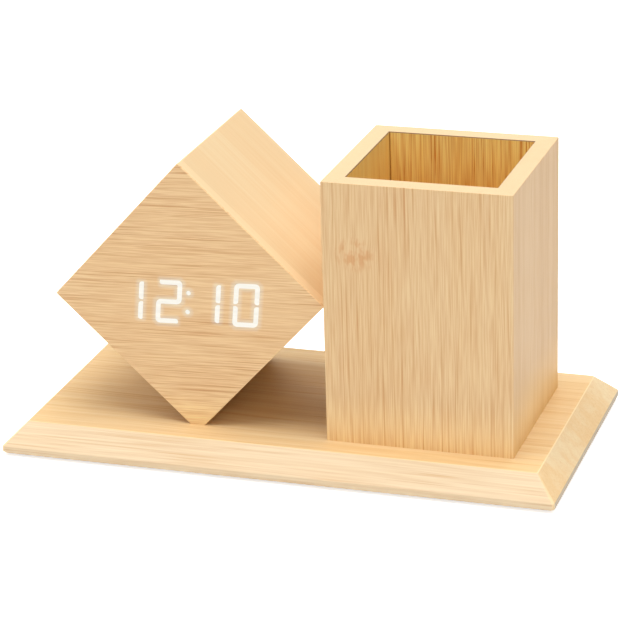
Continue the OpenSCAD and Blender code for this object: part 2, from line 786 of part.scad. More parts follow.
module set_button() button(0);
module up_button() button(1);
module down_button() button(2);
module set_plunger() plunger(0);
module up_plunger() plunger(1);
module down_plunger() plunger(2);

// The ribbon leaves the display board's plug straight, crosses over and meets the control board's plug
module ribbon_cable() color(WHITE_PLASTIC) {
    y0 = display_rear_y + plug_h;
    y1 = clock_y1 - control_front - plug_h;
    left = ribbon_t/2;
    in_case() translate([0, 0, -ribbon_w/2]) linear_extrude(ribbon_w) polygon([
        [plug_at - left, y0], [plug_at + left, y0], [plug_at + left, y0 + ribbon_run],
        [strip_x + left, y1 - ribbon_run], [strip_x + left, y1], [strip_x - left, y1],
        [strip_x - left, y1 - ribbon_run], [plug_at - left, y0 + ribbon_run]
    ]);
}

module ribbon_plugs() color(WHITE_PLASTIC) {
    in_case() along_y(display_rear_y, display_rear_y + plug_h)
        translate([plug_at, 0]) square([plug_w, plug_l], center = true);
    at_depth(control_front, control_front + plug_h)
        translate([strip_x, 0]) square([plug_w, plug_l], center = true);
}

base_board();
rubber_feet();
holder_screws();
clock_screws();
holder_front_wall();
holder_right_wall();
holder_back_wall();
holder_left_wall();
holder_floor();
clock_upper_right_side();
clock_upper_left_side();
clock_lower_left_side();
clock_lower_right_side();
front_board();
front_veneer();
corner_blocks();
foot_block();
display_housing();
lit_segments();
unlit_segments();
display_board();
display_leds();
display_screws();
controller_chip();
buzzer();
rear_cover();
cover_screws();
battery_door();
battery_cells();
battery_contacts();
battery_leads();
control_board();
board_screws();
tact_switches();
power_socket();
socket_tongue();
set_button();
up_button();
down_button();
set_plunger();
up_plunger();
down_plunger();
ribbon_cable();
ribbon_plugs();
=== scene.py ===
"""Looks of the desk clock with pen holder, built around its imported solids.

Sizes are in millimetres in the part's own frame, and become metres when a mesh or a material is made.
"""
from math import cos, hypot, pi, radians, sin, sqrt, tan

import bmesh
import bpy
from mathutils import Matrix, Vector
from mathutils.geometry import delaunay_2d_cdt


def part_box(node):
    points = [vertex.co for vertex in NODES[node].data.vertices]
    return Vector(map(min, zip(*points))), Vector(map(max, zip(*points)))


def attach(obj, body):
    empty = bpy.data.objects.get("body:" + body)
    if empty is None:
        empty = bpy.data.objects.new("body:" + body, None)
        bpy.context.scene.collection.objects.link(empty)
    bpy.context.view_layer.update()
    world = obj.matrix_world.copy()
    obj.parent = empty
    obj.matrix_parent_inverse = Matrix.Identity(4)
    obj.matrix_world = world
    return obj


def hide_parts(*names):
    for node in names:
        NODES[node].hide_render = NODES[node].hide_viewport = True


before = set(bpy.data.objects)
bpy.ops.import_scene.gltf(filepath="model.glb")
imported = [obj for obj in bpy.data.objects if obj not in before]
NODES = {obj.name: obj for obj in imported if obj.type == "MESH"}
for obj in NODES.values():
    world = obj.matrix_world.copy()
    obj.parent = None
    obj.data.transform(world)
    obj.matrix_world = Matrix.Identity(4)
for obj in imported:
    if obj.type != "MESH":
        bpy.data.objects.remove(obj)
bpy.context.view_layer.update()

MM = 0.001
SCENE = bpy.context.scene
UP = (0, 0, 1)
RIGHT = (1, 0, 0)
BACK = (0, 1, 0)
SIDES = (-1, 1)


def box_in_mm(node):
    """A solid's lowest and highest corners, in millimetres."""
    return [[round(value/MM, 4) for value in corner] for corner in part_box(node)]


def turned(x, y, degrees):
    """A point of a plane, turned about the plane's origin."""
    angle = radians(degrees)
    return x*cos(angle) - y*sin(angle), x*sin(angle) + y*cos(angle)


def linear(red, green, blue):
    """A colour given in screen values from 0 to 255, for a shader."""
    values = [value/255 for value in (red, green, blue)]
    return tuple(v/12.92 if v <= 0.04045 else ((v + 0.055)/1.055)**2.4 for v in values) + (1.0,)


def scaled(colour, gain, lift=0.0):
    """A shader's colour made lighter or darker."""
    return tuple(min(1.0, gain*value + lift) for value in colour[:3]) + (1.0,)


# Sizes and places that the solids give
(BOARD_X0, BOARD_Y0, BOARD_LOW), (BOARD_X1, BOARD_Y1, BOARD_TOP) = box_in_mm("base_board")
(HOLDER_X0, HOLDER_Y0, _), (HOLDER_X1, HOLDER_INNER_Y, HOLDER_TOP) = box_in_mm("holder_front_wall")
(_, FACE_Y, _), (CASE_X1, SKIN_BACK_Y, CASE_TOP) = box_in_mm("front_veneer")
(_, FRONT_BACK_Y, _), (_, CASE_BACK_Y, _) = box_in_mm("clock_upper_right_side")
BOARD_L = BOARD_X1 - BOARD_X0
BOARD_W = BOARD_Y1 - BOARD_Y0
HOLDER_W = HOLDER_X1 - HOLDER_X0
HOLDER_WALL = HOLDER_INNER_Y - HOLDER_Y0
HOLDER_CENTRE = (HOLDER_X0 + HOLDER_W/2, HOLDER_Y0 + HOLDER_W/2)

# Sizes shared with the part's source: the clock's case stands on a corner and leans a little
BOARD_EDGE_TOP = 3.6
BEVEL_W = 7.5
CASE_SIDE = 70.0
CASE_WALL = 5.0
CASE_TURN = 47
CASE_LEAN = CASE_TURN - 45
CASE_R = CASE_SIDE/sqrt(2)
CASE_REACH = CASE_R*cos(radians(CASE_LEAN))
CASE_CENTRE = (CASE_X1 - CASE_REACH, CASE_TOP - CASE_REACH)
FOOT_X = CASE_CENTRE[0] + CASE_R*sin(radians(CASE_LEAN))
CASE_ALONG, CASE_ACROSS = ((x, 0, z) for x, z in (turned(1, 0, CASE_TURN), turned(0, 1, CASE_TURN)))
FACE_ALONG, FACE_ACROSS = ((x, 0, z) for x, z in (turned(1, 0, CASE_LEAN), turned(0, 1, CASE_LEAN)))
SCREW_HEAD_R = 3.1
SCREW_HEAD_H = 2.0
SCREW_SHAFT_R = 1.6
SCREW_SINK = 0.4
HOLDER_SCREW_SPAN = 30.0
CLOCK_SCREW_SPAN = 36.0
SCREW_PLACES = [(HOLDER_CENTRE[0], HOLDER_CENTRE[1] + side*HOLDER_SCREW_SPAN/2) for side in SIDES]
SCREW_PLACES += [(FOOT_X, (FACE_Y + CASE_BACK_Y)/2 + side*CLOCK_SCREW_SPAN/2) for side in SIDES]
SHOWN_DIGITS = "1210"
LAST_DIGIT = len(SHOWN_DIGITS) - 1
DIGIT_H = 16.2
DIGIT_W = 9.6
DIGIT_PITCH = 14.2
DIGIT_DROP = 1.0
STROKE = 1.95
SLANT = tan(radians(7.4))
COLON_SPAN = 7.0
COLON_DOTS = [(0, side*COLON_SPAN/2) for side in SIDES]
DISPLAY_MARGIN = 1.6
DISPLAY_W = LAST_DIGIT*DIGIT_PITCH + DIGIT_W + DIGIT_H*SLANT + 2*DISPLAY_MARGIN
DISPLAY_H = DIGIT_H + 2*DISPLAY_MARGIN

# Small radii of the wooden edges, and the open joint in the holder's inner corners
CORNER_R = 0.5
LEAST_CORNER_R = 0.1
RIM_R = 0.2
INNER_RIM_R = 0.3
SKIN_R = 0.35
BOARD_CORNER_R = 0.9
BOARD_EDGE_R = 0.7
JOINT_GAP = 0.35
JOINT_DEPTH = 1.2

# How far in the board's corners are lightened, where worn and as a painted highlight, and how steep a face
# shows the board's end
WORN_SHEEN_CORNER_INSET = 1.0
END_SLOPE = 0.2

# How the digits show through the skin: as strokes that glow a little round about
SHOWN_STROKE = 1.72
STROKE_GAP = 0.36
GAP_R = 0.4
SHOWN_DOT_D = 1.65
OUTER_BEND_R = 1.7
INNER_BEND_R = 0.4
OUTER_TIP_R = 0.35
INNER_TIP_R = 0.95
TIP_INSET = 1.1
PLATE_PROUD = 0.02
PLATE_DEPTH = 0.3
GLOW_W = 65.0
GLOW_H = 28.0
GLOW_STEP = 0.3
GLOW_REACH = 5.5

# How finely meshes are drawn, and what counts as one point or as a sharp edge
ARC_STEPS = 4
CORNER_STEPS = 2*ARC_STEPS
HOLE_STEPS = 32
DOT_STEPS = 24
MERGE_DISTANCE = 1e-4
SHARP_ANGLE = radians(30)


class Shader:
    """The nodes of a material or of the world, put together step by step."""

    def __init__(self, owner):
        self.owner = owner
        owner.use_nodes = True
        self.tree = owner.node_tree
        self.tree.nodes.clear()

    def node(self, kind, inputs=None, **settings):
        """Adds a node. Each input is another node's output or a constant."""
        node = self.tree.nodes.new("ShaderNode" + kind)
        for key, value in settings.items():
            setattr(node, key, value)
        for key, value in (inputs or {}).items():
            if isinstance(value, bpy.types.NodeSocket):
                self.tree.links.new(value, node.inputs[key])
            else:
                node.inputs[key].default_value = value
        return node

    def coordinate(self, kind):
        """The object's own place or normal at each point of a surface."""
        return self.node("TexCoord").outputs[kind]

    def attribute(self, name):
        """A number that the mesh holds at its points."""
        return self.node("Attribute", attribute_name=name).outputs["Fac"]

    def math(self, operation, *values):
        """Works with numbers."""
        return self.node("Math", dict(enumerate(values)), operation=operation).outputs[0]

    def vector(self, operation, *values):
        """Works with vectors, and gives a number where the operation does."""
        node = self.node("VectorMath", dict(enumerate(values)), operation=operation)
        return node.outputs["Value" if operation in ("DOT_PRODUCT", "LENGTH") else "Vector"]

    def span(self, value, low, high, to_low=0.0, to_high=1.0):
        """Maps a value smoothly from one range to another."""
        inputs = {"Value": value, "From Min": low, "From Max": high, "To Min": to_low, "To Max": to_high}
        return self.node("MapRange", inputs, interpolation_type="SMOOTHSTEP").outputs["Result"]

    def noise(self, vector, scale, detail=2.0):
        """Noise over a vector that is first stretched along its axes."""
        stretched = self.vector("MULTIPLY", vector, scale)
        return self.node("TexNoise", {"Vector": stretched, "Scale": 1.0, "Detail": detail}).outputs["Fac"]

    def mix(self, factor, one, other, blend="MIX"):
        """Goes from one colour to another. The factor is kept between 0 and 1."""
        inputs = {0: factor, 6: one, 7: other}
        return self.node("Mix", inputs, data_type="RGBA", blend_type=blend, clamp_factor=True).outputs[2]

    def bump(self, height, depth, strength):
        """A normal that follows a height, for a relief of a depth in millimetres."""
        inputs = {"Height": height, "Distance": depth*MM, "Strength": strength}
        return self.node("Bump", inputs).outputs["Normal"]

    def direct_rays(self):
        """1 for rays from the camera, also by way of a reflection or through glass, and 0 for others."""
        rays = self.node("LightPath").outputs
        onward = self.math("MAXIMUM", rays["Is Glossy Ray"], rays["Is Transmission Ray"])
        return self.math("MAXIMUM", rays["Is Camera Ray"], onward)

    def finish(self, shader, output="OutputMaterial"):
        """Joins a shader to the output, and gives back the material or the world."""
        self.node(output, {"Surface": shader}, is_active_output=True)
        return self.owner

    def principled(self, inputs):
        """Finishes a material with one principled shader."""
        return self.finish(self.node("BsdfPrincipled", inputs).outputs["BSDF"])


# Marks of the wood film: noise cells in a metre along and across the grain, and the spans that show
DRIFT_CELLS = (11, 38)
BROAD_CELLS = (3, 45)
BAND_CELLS = (7, 240)
TINT_SPAN = (0.36, 0.64)
FIBRE_CELLS = (22, 2200)
FIBRE_SPAN = (0.3, 0.7)
LINE_CELLS = (13, 1250)
LINE_SPAN = (0.53, 0.7)
BREAK_CELLS = (26, 170)
BREAK_SPAN = (0.35, 0.62, 0.3, 1.0)
SEED_SHIFT = (1.0, 0.37, 0.71)

# Growth rings, cut at a slant
RING_TAPER = (0.012, 1, 1)
RING_HEART = (0, 30, 60)
RING_SWIRL_CELLS = (7, 24)
RING_SWIRL = 12.0
RINGS_IN_A_METRE = 330
RING_RISE = (0.2, 0.9)
RING_FALL = (1.0, 0.9)

# The knot on the holder's front: its place up and to the right, its shape and its speckles
HOLDER_KNOT = (80.2, 27.2)
KNOT_SCALE = (190, 150, 0)
KNOT_SPAN = (1.4, 0.5)
KNOT_BEND = 0.5
KNOT_CELLS = (260, 600)
KNOT_PATCH_SPAN = (0.42, 0.62, 0.05, 0.7)
KNOT_TONE = linear(222, 162, 112)

# End faces, slopes painted lighter by the way they face, edges lightened where worn and as a painted
# highlight, the holder rim's inner edge darkened as painted shade, gloss and the digits' glow
END_SPAN = (0.75, 0.98, 0.0, 0.8)
SLOPE_SHARE = 0.8
SLOPE_SPAN = (0.98, 0.85, 0.0, SLOPE_SHARE)
SLOPE_LINES = 0.8
WORN_SHEEN_GAIN = 1.1
# Dark line along the holder rim's inner edge: painted shade.
INNER_EDGE_SHADE_TONE = linear(96, 62, 28)
WOOD_ROUGH_SPAN = (0.2, 0.8, 0.42, 0.56)
WOOD_SPECULAR = 0.16
WOOD_BUMP = 0.05
WOOD_BUMP_STRENGTH = 0.4
GLOW_LIGHT = linear(40, 205, 255)
GLOW_START = 0.64
GLOW_STRENGTH = 0.16


def stretch(cells, length=1.0, pitch=1.0):
    """The scale of a noise from its cells in a metre along and across the grain."""
    along, across = cells
    return along/length, across*pitch, across*pitch


def grain_place(s, place, along, across):
    """A place given along the grain, across it and into the wood."""
    axes = [s.vector("DOT_PRODUCT", place, tuple(way)) for way in (along, across, along.cross(across))]
    return s.node("CombineXYZ", dict(enumerate(axes))).outputs["Vector"]


def knot_field(s, grain, knot):
    """1 in the middle of a knot, and 0 outside it."""
    centre = tuple(value*MM for value in knot) + (0.0,)
    off = s.vector("MULTIPLY", s.vector("SUBTRACT", grain, centre), KNOT_SCALE)
    return s.span(s.vector("LENGTH", off), *KNOT_SPAN)


def wandering(s, grain, seed, wave, knot_part):
    """The grain of one piece of wood, whose lines wander and bend round a knot."""
    grain = s.vector("ADD", grain, tuple(seed*shift for shift in SEED_SHIFT))
    drift = s.math("SUBTRACT", s.noise(grain, stretch(DRIFT_CELLS)), 0.5)
    drift = s.math("MULTIPLY", drift, 2*wave*MM)
    if knot_part is not None:
        drift = s.math("ADD", drift, s.math("MULTIPLY", knot_part, KNOT_BEND*MM))
    return s.vector("ADD", grain, s.node("CombineXYZ", {"Y": drift}).outputs["Vector"])


def ring_marks(s, grain):
    """The darker late wood of growth rings, from 0 to 1."""
    heart = tuple(value*MM for value in RING_HEART)
    out_of_heart = s.vector("ADD", s.vector("MULTIPLY", grain, RING_TAPER), heart)
    swirl = s.math("MULTIPLY", s.noise(grain, stretch(RING_SWIRL_CELLS), detail=1.0), RING_SWIRL*MM)
    radius = s.math("ADD", s.vector("LENGTH", out_of_heart), swirl)
    turn = s.math("FRACT", s.math("MULTIPLY", radius, RINGS_IN_A_METRE))
    return s.math("MULTIPLY", s.span(turn, *RING_RISE), s.span(turn, *RING_FALL))


def wood(name, along, across, tones, fibre=0.2, lines=0.5, bands=0.6, rings=0.0, seed=0.0, wave=0.3,
         pitch=1.0, length=1.0, fibre_length=1.0, edge=0.3, shaded_inner_edge=0.0, end_tone=None, slope_light=None,
         knot=None, painted_light=None, glow=False):
    """Satin wood-grain film.

    along and across are the grain's directions in the part's frame, and tones are pale, warm and dark.
    fibre, lines, bands and rings say how strong each kind of mark is. pitch says how close lines lie, and
    length and fibre_length how long lines and fibres run. seed picks the piece of wood, and wave is how far
    its lines wander. edge lightens rounded edges, where worn and as a painted highlight, and the inner
    edge's strength darkens a rim's inner edge as painted shade. end_tone is the colour of end faces, on the
    board's ends a painted shade, and the slope's tone is a paler colour painted on bevels and upright faces
    for the light they catch. knot is a place along and across the grain. Two heights and a colour gain
    reached between
    them paint light: bounce light near the board, and shade deep inside the holder. glow lets the light of
    the digits show.
    """
    s = Shader(bpy.data.materials.new(name))
    pale, warm, dark = tones
    along, across = Vector(along), Vector(across)
    place, normal = s.coordinate("Object"), s.coordinate("Normal")
    grain = grain_place(s, place, along, across)
    knot_part = knot_field(s, grain, knot) if knot else None
    grain = wandering(s, grain, seed, wave, knot_part)

    broad = s.noise(grain, stretch(BROAD_CELLS))
    band = s.noise(grain, stretch(BAND_CELLS))
    fine = s.noise(grain, stretch(FIBRE_CELLS, fibre_length, pitch), detail=1.0)
    streak = s.noise(grain, stretch(LINE_CELLS, length, pitch), detail=1.0)
    broken = s.span(s.noise(grain, stretch(BREAK_CELLS, length)), *BREAK_SPAN)
    mark = s.math("MULTIPLY", s.span(streak, *LINE_SPAN), broken)

    tint = s.math("MULTIPLY", s.math("ADD", broad, band), 0.5)
    colour = s.mix(s.math("MULTIPLY", s.span(tint, *TINT_SPAN), bands), pale, warm)
    # Bevels and upright faces take a paler tone, painted light for the light they catch, and their lines are
    # weaker.
    if slope_light:
        slope = s.span(s.vector("DOT_PRODUCT", normal, UP), *SLOPE_SPAN)
        colour = s.mix(slope, colour, slope_light)
        lines = s.span(slope, 0.0, SLOPE_SHARE, lines, SLOPE_LINES*lines)
    if rings:
        colour = s.mix(s.math("MULTIPLY", ring_marks(s, grain), rings), colour, dark)
    if knot:
        patch = s.span(s.noise(grain, stretch(KNOT_CELLS)), *KNOT_PATCH_SPAN)
        colour = s.mix(s.math("MULTIPLY", knot_part, patch), colour, KNOT_TONE)
    colour = s.mix(s.math("MULTIPLY", s.span(fine, *FIBRE_SPAN), fibre), colour, dark)
    colour = s.mix(s.math("MULTIPLY", mark, lines), colour, dark)
    # Painted light: a colour gain between two heights. It is lighter near the board for the board's bounce
    # light, and darker deep inside the holder for shade.
    if painted_light:
        start, end, gain = painted_light
        level = s.vector("DOT_PRODUCT", place, UP)
        colour = s.mix(s.span(level, start*MM, end*MM), colour, gain + (1.0,), blend="MULTIPLY")

    facing = s.math("ABSOLUTE", s.vector("DOT_PRODUCT", normal, tuple(along)))
    colour = s.mix(s.span(facing, *END_SPAN), colour, end_tone or pale)
    # Rounded edges are lightened, where worn and as a painted highlight.
    worn_sheen_and_shade = s.attribute("worn_sheen_and_shade")
    colour = s.mix(s.math("MULTIPLY", worn_sheen_and_shade, edge), colour, scaled(pale, WORN_SHEEN_GAIN))
    # A rim's inner edge is darkened: painted shade.
    if shaded_inner_edge:
        colour = s.mix(s.math("MULTIPLY", worn_sheen_and_shade, -shaded_inner_edge), colour, INNER_EDGE_SHADE_TONE)
    inputs = {
        "Base Color": colour,
        "Roughness": s.span(fine, *WOOD_ROUGH_SPAN),
        "Specular IOR Level": WOOD_SPECULAR,
        "Normal": s.bump(s.math("SUBTRACT", fine, mark), WOOD_BUMP, WOOD_BUMP_STRENGTH),
    }
    if glow:
        inputs["Emission Color"] = GLOW_LIGHT
        inputs["Emission Strength"] = s.span(s.attribute("glow"), GLOW_START, 1.0, 0.0, GLOW_STRENGTH)
    return s.principled(inputs)


# Plastic: cloudy patches with another gloss and a lighter tint, given as gain and lift
PLASTIC_CLOUD_SCALE = (70, 70, 70)
PLASTIC_CLOUD_SPAN = (0.3, 0.7)
PLASTIC_TINT = (1.35, 0.004)
PLASTIC_TINT_SHARE = 0.5
PLASTIC_ROUGH_SPREAD = 0.06
PLASTIC_BUMP_STRENGTH = 0.6


def plastic(name, colour, rough, grain=2600.0, bump=0.03, specular=0.4):
    """Moulded plastic with a fine texture and a slightly uneven gloss."""
    s = Shader(bpy.data.materials.new(name))
    place = s.coordinate("Object")
    fine = s.noise(place, (grain, grain, grain))
    cloud = s.noise(place, PLASTIC_CLOUD_SCALE, detail=3.0)
    cloudy = s.math("MULTIPLY", s.span(cloud, *PLASTIC_CLOUD_SPAN), PLASTIC_TINT_SHARE)
    least_rough, most_rough = rough - PLASTIC_ROUGH_SPREAD, rough + PLASTIC_ROUGH_SPREAD
    return s.principled({
        "Base Color": s.mix(cloudy, colour, scaled(colour, *PLASTIC_TINT)),
        "Roughness": s.span(cloud, *PLASTIC_CLOUD_SPAN, least_rough, most_rough),
        "Specular IOR Level": specular,
        "Normal": s.bump(fine, bump, PLASTIC_BUMP_STRENGTH),
    })


# Metal: turning marks, and patches that are duller
METAL_MARK_SCALE = (900, 4200, 900)
METAL_MARK_SPAN = (0.3, 0.7)
METAL_CLOUD_SCALE = (160, 160, 160)
METAL_CLOUD_SPAN = (0.4, 0.75)
METAL_DULL = 0.75
METAL_ROUGH_BELOW = 0.06
METAL_ROUGH_ABOVE = 0.1
METAL_BUMP = 0.01
METAL_BUMP_STRENGTH = 0.4


def metal(name, colour, rough):
    """Plated steel with fine turning marks and a few duller patches."""
    s = Shader(bpy.data.materials.new(name))
    place = s.coordinate("Object")
    fine = s.noise(place, METAL_MARK_SCALE)
    cloud = s.noise(place, METAL_CLOUD_SCALE, detail=3.0)
    return s.principled({
        "Base Color": s.mix(s.span(cloud, *METAL_CLOUD_SPAN), colour, scaled(colour, METAL_DULL)),
        "Metallic": 1.0,
        "Roughness": s.span(fine, *METAL_MARK_SPAN, rough - METAL_ROUGH_BELOW, rough + METAL_ROUGH_ABOVE),
        "Normal": s.bump(fine, METAL_BUMP, METAL_BUMP_STRENGTH),
    })


# Light of the digits, and how its strength varies
LIT_TONE = linear(255, 251, 240)
LIT_SCALE = (60, 60, 900)
LIT_SPAN = (0.3, 0.7, 0.94, 1.02)


def lit_material():
    """Warm white light that comes through the wood skin, a little uneven with its grain."""
    s = Shader(bpy.data.materials.new("lit_digit"))
    grain = s.noise(s.coordinate("Object"), LIT_SCALE)
    light = s.node("Emission", {"Color": LIT_TONE, "Strength": s.span(grain, *LIT_SPAN)})
    return s.finish(light.outputs["Emission"])


# Pale, warm and dark tones of each wood film, and single tones of edges and slopes. Some paint light and
# shade: the right wall's darker holder tones and the board's end edge tone paint shade, and the bevel tone
# paints light.
HOLDER_TONES = (linear(239, 209, 162), linear(232, 195, 143), linear(204, 143, 88))
# A darker copy of the holder's film for its right wall: painted shade of that side.
SHADED_RIGHT_HOLDER_TONES = (linear(232, 197, 150), linear(220, 179, 127), linear(192, 135, 82))
INSIDE_TONES = (linear(255, 230, 143), linear(254, 215, 121), linear(208, 126, 42))
CASE_TONES = (linear(226, 200, 157), linear(222, 187, 140), linear(203, 153, 102))
FACE_TONES = (linear(246, 212, 163), linear(238, 197, 145), linear(198, 137, 85))
FRONT_TONES = (linear(235, 206, 163), linear(232, 200, 153), linear(212, 168, 114))
BOARD_TONES = (linear(237, 208, 161), linear(233, 196, 137), linear(204, 153, 92))
BOARD_END_TONES = (linear(240, 216, 173), linear(236, 202, 151), linear(211, 165, 109))
RAW_TONES = (linear(205, 165, 112), linear(190, 146, 95), linear(150, 104, 62))
RIM_TONE = linear(215, 189, 147)
# Greyer tone of the board's upright end faces: painted shade.
END_EDGE_PAINTED_SHADE = linear(182, 168, 148)
# Paler tone of the board's bevels and upright edges: painted light.
BEVEL_PAINTED_LIGHT = linear(240, 220, 189)

# The holder's walls: front, right, back and left
HOLDER_SIDES = ("front", "right", "back", "left")
HOLDER_ACROSS = (RIGHT, BACK, RIGHT, BACK)
HOLDER_WALL_TONES = (HOLDER_TONES, SHADED_RIGHT_HOLDER_TONES, HOLDER_TONES, HOLDER_TONES)
HOLDER_LINES = (0.62, 0.22, 0.45, 0.4)
HOLDER_BANDS = (0.4, 0.6, 0.4, 0.5)
HOLDER_KNOTS = (HOLDER_KNOT, None, None, None)
# The holder's front and right walls get lighter towards the board: painted bounce light.
FRONT_PAINTED_BOUNCE = (BOARD_TOP + 20, BOARD_TOP, (1.17, 1.18, 1.08))
RIGHT_PAINTED_BOUNCE = (BOARD_TOP + 28, BOARD_TOP, (1.24, 1.22, 1.02))
HOLDER_PAINTED_BOUNCES = (FRONT_PAINTED_BOUNCE, RIGHT_PAINTED_BOUNCE, None, None)
INSIDE_LINES = (0.55, 0.45, 0.95, 0.4)
# The inside walls get darker below the rim: painted shade.
INSIDE_PAINTED_SHADE = (HOLDER_TOP + 2, HOLDER_TOP - 40, (0.96, 0.84, 0.74))

# The clock's case: its four sides and its face
CASE_SIDES = ("upper_right", "upper_left", "lower_left", "lower_right")
CASE_GRAINS = (CASE_ACROSS, CASE_ALONG, CASE_ACROSS, CASE_ALONG)
# The face gets lighter towards the board: painted bounce light.
FACE_PAINTED_BOUNCE = (BOARD_TOP + 14, BOARD_TOP, (1.18, 1.26, 1.2))


def holder_wood(turn):
    """The film on the outside of one of the holder's walls, with a dark line of painted shade on the rim's
    inner edge, and painted bounce light near the board on the front and right walls.
    """
    lines = HOLDER_LINES[turn]
    return wood(f"holder_wood_{turn}", UP, HOLDER_ACROSS[turn], HOLDER_WALL_TONES[turn], fibre=0.6*lines,
                lines=lines, bands=HOLDER_BANDS[turn], seed=0.6*turn + 0.2, pitch=1.2, length=0.7,
                fibre_length=0.32, shaded_inner_edge=0.9, end_tone=RIM_TONE, knot=HOLDER_KNOTS[turn],
                painted_light=HOLDER_PAINTED_BOUNCES[turn])


def inside_wood(turn):
    """The darker film on the inside of one of the holder's walls, with painted shade that deepens below the
    rim.
    """
    lines = INSIDE_LINES[turn]
    return wood(f"inside_wood_{turn}", UP, HOLDER_ACROSS[turn], INSIDE_TONES, fibre=0.5*lines, lines=lines,
                seed=0.5*turn + 0.9, pitch=1.3, length=0.4, fibre_length=0.4, painted_light=INSIDE_PAINTED_SHADE)


def case_wood(turn):
    """The quiet film on one side of the clock's case."""
    return wood(f"case_wood_{turn}", CASE_GRAINS[turn], BACK, CASE_TONES, fibre=0.08, lines=0.06, bands=0.55,
                seed=0.7*turn + 0.5)


# The board's film is paler on its bevels and edges as painted light, with a strong painted highlight on its
# upper edges.
board_wood = wood("board_wood", RIGHT, BACK, BOARD_TONES, lines=0.45, rings=0.12, seed=1.3, wave=1.2,
                  length=0.8, fibre_length=0.8, edge=0.8, slope_light=BEVEL_PAINTED_LIGHT)
# The board's ends. Their upright faces take a greyer tone as painted shade.
board_end_wood = wood("board_end_wood", RIGHT, BACK, BOARD_END_TONES, fibre=0.16, lines=0.2, bands=1.0,
                      seed=2.7, wave=1.2, edge=0.8, end_tone=END_EDGE_PAINTED_SHADE)
holder_woods = [holder_wood(turn) for turn in range(4)]
inside_woods = [inside_wood(turn) for turn in range(4)]
floor_wood = wood("holder_floor_wood", BACK, RIGHT, INSIDE_TONES, seed=3.1)
case_woods = [case_wood(turn) for turn in range(4)]
front_wood = wood("front_wood", CASE_ACROSS, BACK, FRONT_TONES, fibre=0.08, lines=0.1, bands=0.4, seed=2.9)
face_wood = wood("face_wood", FACE_ALONG, FACE_ACROSS, FACE_TONES, fibre=0.34, lines=0.64, bands=0.4,
                 seed=2.4, wave=0.2, pitch=1.4, length=0.6, fibre_length=0.24, painted_light=FACE_PAINTED_BOUNCE, glow=True)
raw_wood = wood("raw_wood", BACK, RIGHT, RAW_TONES, seed=4.2)
black_plastic = plastic("black_plastic", linear(38, 38, 41), 0.5)
button_plastic = plastic("button_plastic", linear(58, 58, 62), 0.34, grain=5000.0, bump=0.008)
white_plastic = plastic("white_plastic", linear(226, 226, 222), 0.4, grain=5000.0, bump=0.008)
lens_plastic = plastic("lens_plastic", linear(204, 204, 200), 0.3, grain=5000.0, bump=0.005)
rubber = plastic("rubber", linear(52, 52, 54), 0.75, grain=1800.0, bump=0.05, specular=0.25)
circuit = plastic("circuit", linear(38, 96, 60), 0.45, grain=900.0, bump=0.02)
wire_plastic = plastic("wire_plastic", linear(176, 40, 34), 0.42, grain=3000.0, bump=0.008)
cell_wrap = plastic("cell_wrap", linear(62, 96, 112), 0.3, grain=4000.0, bump=0.005)
steel = metal("steel", linear(200, 202, 205), 0.3)
lit_digit = lit_material()


def new_piece(name, bm):
    """Makes an object from a bmesh that is drawn in millimetres."""
    bmesh.ops.remove_doubles(bm, verts=bm.verts[:], dist=MERGE_DISTANCE)
    bmesh.ops.dissolve_degenerate(bm, edges=bm.edges[:], dist=MERGE_DISTANCE)
    bmesh.ops.recalc_face_normals(bm, faces=bm.faces[:])
    bm.transform(Matrix.Scale(MM, 4))
    mesh = bpy.data.meshes.new(name)
    bm.to_mesh(mesh)
    bm.free()
    for face in mesh.polygons:
        face.use_smooth = True
    mesh.set_sharp_from_angle(angle=SHARP_ANGLE)
    piece = bpy.data.objects.new(name, mesh)
    SCENE.collection.objects.link(piece)
    return piece


def settle(piece, materials, slot, *replaced):
    """Gives a piece of the stand its materials and even shading, and hides the nodes that it stands for. Its
    slot is not used.
    """
    for material in materials:
        piece.data.materials.append(material)
    piece.modifiers.new("even_shading", "WEIGHTED_NORMAL").keep_sharp = True
    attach(piece, "stand")
    if replaced:
        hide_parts(*replaced)


def bridge(bm, one, other):
    """Joins two closed loops of equally many points by a band of faces."""
    for i in range(len(one)):
        j = (i + 1) % len(one)
        bm.faces.new((one[i], one[j], other[j], other[i]))


def fill(bm, loops):
    """Closes a flat face between an outer loop and its holes."""
    edges = []
    for loop in loops:
        for i in range(len(loop)):
            pair = (loop[i], loop[(i + 1) % len(loop)])
            edges.append(bm.edges.get(pair) or bm.edges.new(pair))
    bmesh.ops.triangle_fill(bm, edges=edges, use_beauty=True)


# The kind of Delaunay output that has triangles only inside the outer loop
TRIANGLES_INSIDE = 1


def fill_round(bm, outer, window):
    """Closes the flat front between its outer loop and a convex window, without slivers."""
    verts = outer + window
    loops = (range(len(outer)), range(len(outer), len(verts)))
    edges = [(loop[i - 1], loop[i]) for loop in loops for i in range(len(loop))]
    places = [Vector((vert.co.x, vert.co.z)) for vert in verts]
    triangles = delaunay_2d_cdt(places, edges, [], TRIANGLES_INSIDE, MERGE_DISTANCE)[2]
    for triangle in triangles:
        if min(triangle) < len(outer):
            bm.faces.new([verts[i] for i in triangle])


def cut_below(bm, level):
    """Takes off what is below a level and closes the cut."""
    geometry = bm.verts[:] + bm.edges[:] + bm.faces[:]
    cut = bmesh.ops.bisect_plane(bm, geom=geometry, plane_co=(0, 0, level), plane_no=(0, 0, -1),
                                 clear_outer=True)
    edges = [part for part in cut["geom_cut"] if isinstance(part, bmesh.types.BMEdge)]
    if edges:
        bmesh.ops.edgeloop_fill(bm, edges=edges)


def circle(centre, radius, count):
    """Points round a circle."""
    angles = [2*pi*i/count for i in range(count)]
    return [(centre[0] + radius*cos(a), centre[1] + radius*sin(a)) for a in angles]


